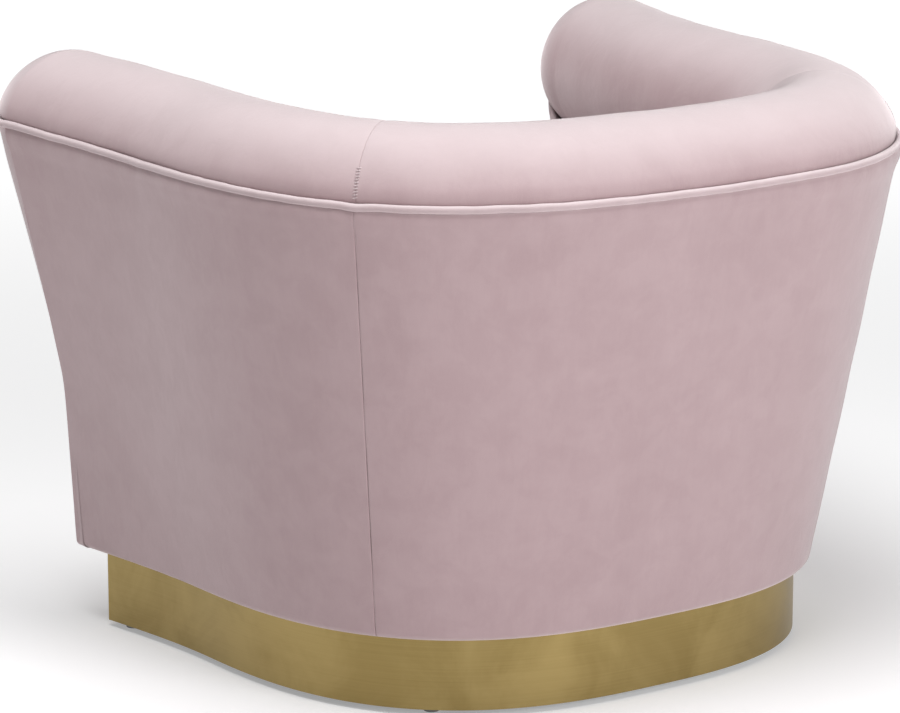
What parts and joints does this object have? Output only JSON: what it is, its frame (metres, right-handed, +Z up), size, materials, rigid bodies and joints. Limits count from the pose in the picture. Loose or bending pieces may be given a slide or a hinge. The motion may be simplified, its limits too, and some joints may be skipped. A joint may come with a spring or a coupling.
{
  "type": "barrel lounge chair",
  "caption": "Upholstered barrel lounge chair: flared tub with a wraparound rolled top, piped seam, loose seat cushion and metal-clad plinth.",
  "frame": {"origin": "on the floor, under the middle of the chair's bounding box", "axes": "+Z up; the sitter faces -Y, so +Y is the back; +X is the sitter's left"},
  "size_m": [1.072, 0.8747, 0.7558],
  "materials": {
    "velvet": "short-pile blush velvet",
    "gold": "brushed, clear-coated",
    "plywood": "raw",
    "beech": "raw, planed",
    "fibreboard": "raw hardboard",
    "foam": "open-cell foam",
    "wire": "drawn spring wire",
    "bracket_steel": "zinc plated",
    "cambric": "black non-woven",
    "nylon": "moulded"
  },
  "bodies": {
    "tub": {"arm_facing_left": "velvet", "arm_facing_right": "velvet", "arm_post_left": "beech", "arm_post_right": "beech", "arm_rib_left": "beech", "arm_rib_right": "beech", "back_rib": "beech", "corner_block_left": "beech", "corner_block_right": "beech", "corner_post_left": "beech", "corner_post_right": "beech", "deck_cloth": "cambric", "deck_pad": "foam", "dust_cover": "cambric", "fibre_panel_back": "fibreboard", "fibre_panel_left": "fibreboard", "fibre_panel_right": "fibreboard", "front_border": "velvet", "glide_back_left": "nylon", "glide_back_right": "nylon", "glide_front_left": "nylon", "glide_front_right": "nylon", "inside_pad_back": "velvet", "inside_pad_left": "velvet", "inside_pad_right": "velvet", "outside_cover_back": "velvet", "outside_cover_left": "velvet", "outside_cover_right": "velvet", "plinth_band_front": "gold", "plinth_band_rear": "gold", "plinth_board_back": "plywood", "plinth_board_front": "plywood", "plinth_board_left": "plywood", "plinth_board_right": "plywood", "plinth_bracket_back_left": "bracket_steel", "plinth_bracket_back_right": "bracket_steel", "plinth_bracket_left": "bracket_steel", "plinth_bracket_right": "bracket_steel", "roll_back": "velvet", "roll_left": "velvet", "roll_right": "velvet", "seat_rail_back": "beech", "seat_rail_front": "beech", "seat_rail_left": "beech", "seat_rail_right": "beech", "seat_spring_1": "wire", "seat_spring_2": "wire", "seat_spring_3": "wire", "seat_spring_4": "wire", "seat_spring_5": "wire", "top_rail_back": "plywood", "top_rail_left": "plywood", "top_rail_right": "plywood", "welt": "velvet"},
    "seat_cushion": {"cushion_band": "velvet", "cushion_bottom_panel": "velvet", "cushion_core": "foam", "cushion_top_panel": "velvet", "cushion_welt_bottom": "velvet", "cushion_welt_top": "velvet"}
  },
  "joints": [
    {"name": "seat_cushion_lift", "type": "slide", "parent": "tub", "child": "seat_cushion", "axis": [0, 0, 1], "range_m": [0, 0.5]}
  ]
}
